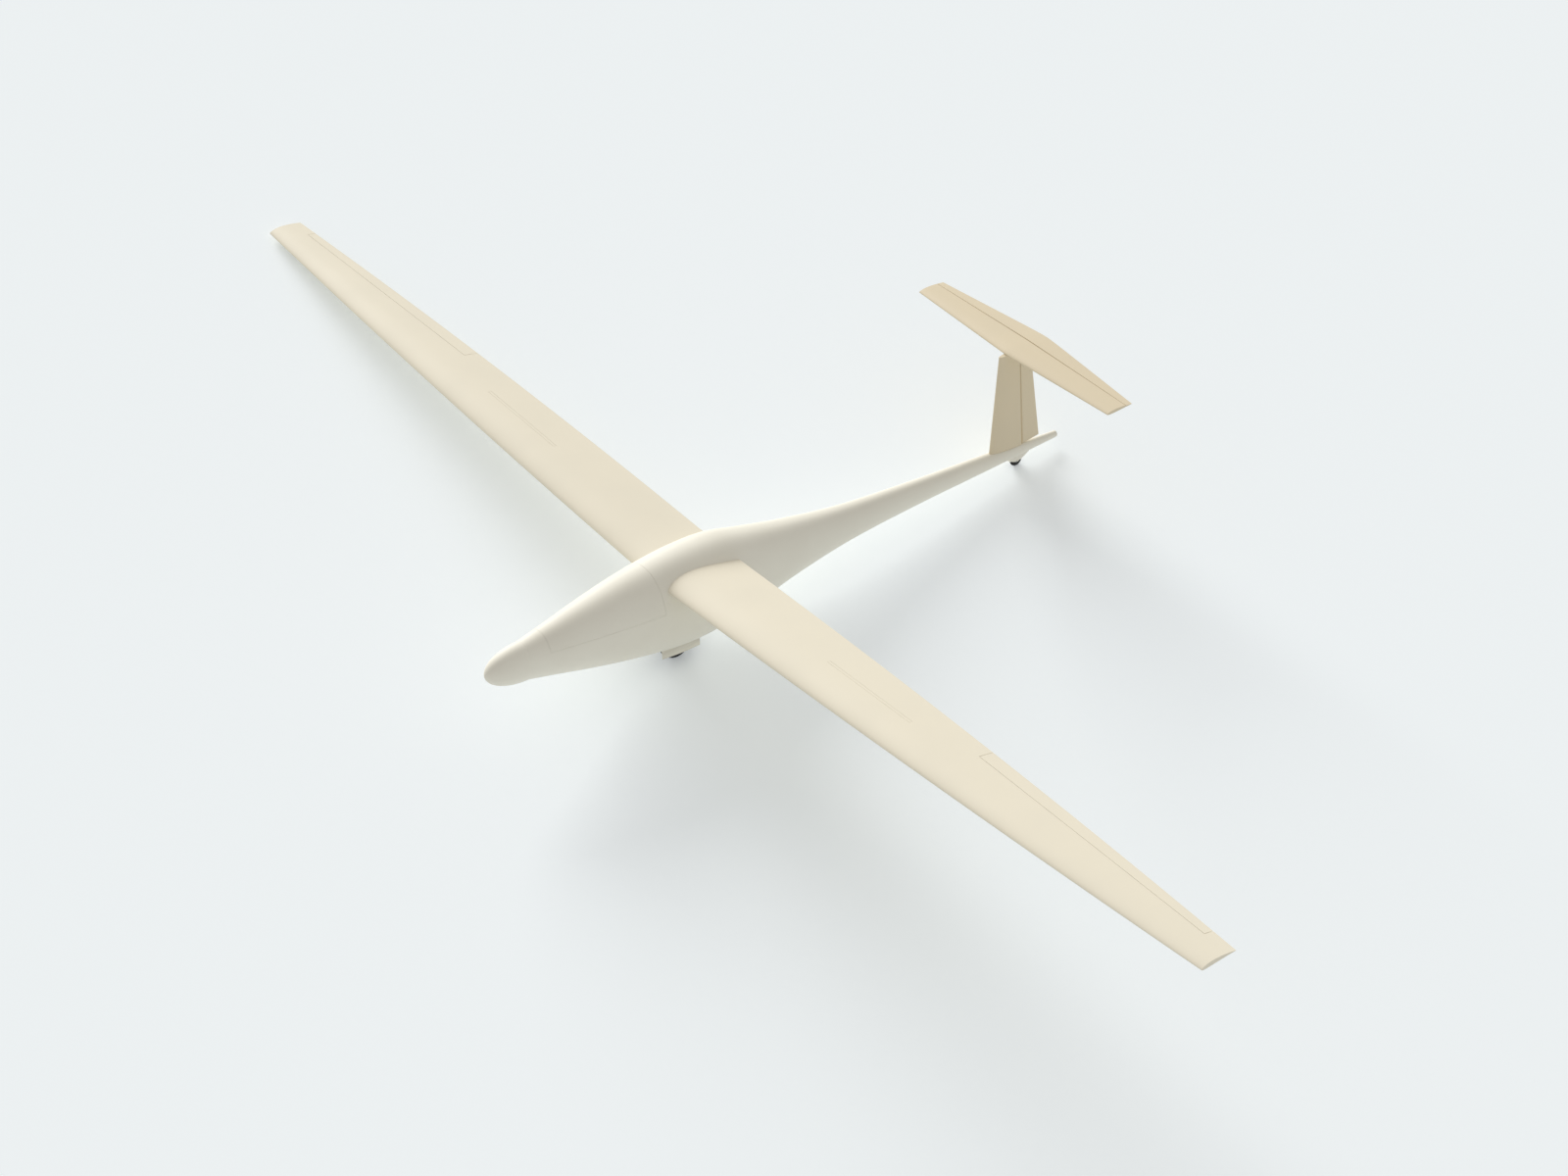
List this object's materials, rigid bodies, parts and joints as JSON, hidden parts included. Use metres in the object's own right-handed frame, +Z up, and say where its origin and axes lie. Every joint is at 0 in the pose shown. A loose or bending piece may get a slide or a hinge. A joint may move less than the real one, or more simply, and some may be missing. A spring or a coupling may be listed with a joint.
{
  "type": "sailplane",
  "caption": "Single-seat T-tail sailplane of 15 m span with a deep smooth body, hinged cockpit hood, moving control surfaces and wheels, parked on one wing tip.",
  "frame": {"origin": "centre of the overall box, on the ground", "axes": "-Y towards the nose, +X towards the pilot's left wing, which is the high one as parked, +Z up from the ground"},
  "size_m": [14.7866, 7.1238, 2.6601],
  "materials": {
    "body": "satin off-white gelcoat over fibre-reinforced plastic",
    "wing": "satin cream gelcoat over fibre-reinforced plastic",
    "tail": "satin tan gelcoat over fibre-reinforced plastic",
    "lining": "matt grey speckled lining paint",
    "cushion": "woven upholstery fabric",
    "panel": "matt black crackle paint",
    "metal": "brushed",
    "tyre": "matt rubber",
    "skid": "scuffed hard plastic"
  },
  "bodies": {
    "airframe": {"nose_cap": "body", "fuselage_shell": "body", "tail_boom": "body", "cockpit_bulkhead": "lining", "seat_pan": "lining", "seat_back": "lining", "seat_cushion": "cushion", "back_cushion": "cushion", "headrest": "cushion", "instrument_panel": "panel", "control_stick": "metal", "rudder_pedals": "metal", "airbrake_lever": "metal", "gear_lever": "metal", "wing_left": "wing", "wing_right": "wing", "tip_skid_left": "skid", "tip_skid_right": "skid", "fin": "tail", "tailplane": "tail", "main_axle": "metal", "gear_leg_left": "metal", "gear_leg_right": "metal", "wheel_box": "lining", "door_hinge_left": "metal", "door_hinge_right": "metal", "tail_fork": "body", "tail_axle": "metal", "tow_hook": "metal"},
    "hood": {"cockpit_hood": "body"},
    "left_aileron": {"aileron_left": "wing"},
    "right_aileron": {"aileron_right": "wing"},
    "left_airbrake": {"airbrake_left": "wing"},
    "right_airbrake": {"airbrake_right": "wing"},
    "rudder": {"rudder": "tail"},
    "elevator": {"elevator": "tail"},
    "main_wheel": {"main_tyre": "tyre", "main_hub": "metal"},
    "left_gear_door": {"gear_door_left": "body"},
    "right_gear_door": {"gear_door_right": "body"},
    "tail_wheel": {"tail_tyre": "tyre", "tail_hub": "metal"}
  },
  "joints": [
    {"name": "hood_hinge", "type": "hinge", "parent": "airframe", "child": "hood", "pos_m": [-0.11349, -2.9186, 0.97368], "axis": [0.1441, -0.9818, 0.1237], "range_deg": [0, 75]},
    {"name": "left_aileron_hinge", "type": "hinge", "parent": "airframe", "child": "left_aileron", "pos_m": [4.1571, -0.92025, 1.92952], "axis": [0.9778, -0.0135, 0.209], "range_deg": [-20, 20]},
    {"name": "right_aileron_hinge", "type": "hinge", "parent": "airframe", "child": "right_aileron", "pos_m": [-4.11821, -1.06419, 0.4948], "axis": [-0.9901, -0.0477, -0.1321], "range_deg": [-20, 20]},
    {"name": "left_airbrake_slide", "type": "slide", "parent": "airframe", "child": "left_airbrake", "axis": [-0.1717, 0.0983, 0.9802], "range_m": [0, 0.06]},
    {"name": "right_airbrake_slide", "type": "slide", "parent": "airframe", "child": "right_airbrake", "axis": [-0.1717, 0.0983, 0.9802], "range_m": [0, 0.06]},
    {"name": "rudder_hinge", "type": "hinge", "parent": "airframe", "child": "rudder", "pos_m": [0.09848, 3.06952, 0.34883], "axis": [-0.1712, 0.0268, 0.9849], "range_deg": [-30, 30]},
    {"name": "elevator_hinge", "type": "hinge", "parent": "airframe", "child": "elevator", "pos_m": [-0.09086, 3.23711, 1.4241], "axis": [0.9852, 0.0171, 0.1708], "range_deg": [-22, 22]},
    {"name": "main_wheel_spin", "type": "hinge", "parent": "airframe", "child": "main_wheel", "pos_m": [0.20662, -1.43074, 0.17656], "axis": [0.9852, 0.0171, 0.1708], "continuous": true},
    {"name": "left_gear_door_hinge", "type": "hinge", "parent": "airframe", "child": "left_gear_door", "pos_m": [0.30698, -1.65167, 0.2785], "axis": [0.01, 0.9876, -0.1567], "range_deg": [-8, 7]},
    {"name": "right_gear_door_hinge", "type": "hinge", "parent": "airframe", "child": "right_gear_door", "pos_m": [0.08532, -1.65552, 0.24007], "axis": [0.01, 0.9876, -0.1567], "range_deg": [-7, 8]},
    {"name": "tail_wheel_spin", "type": "hinge", "parent": "airframe", "child": "tail_wheel", "pos_m": [0.1474, 3.00111, 0.07352], "axis": [0.9852, 0.0171, 0.1708], "continuous": true}
  ],
  "couplings": [
    {"joint": "right_aileron_hinge", "follows": "left_aileron_hinge", "ratio": 1},
    {"joint": "right_airbrake_slide", "follows": "left_airbrake_slide", "ratio": 1}
  ]
}
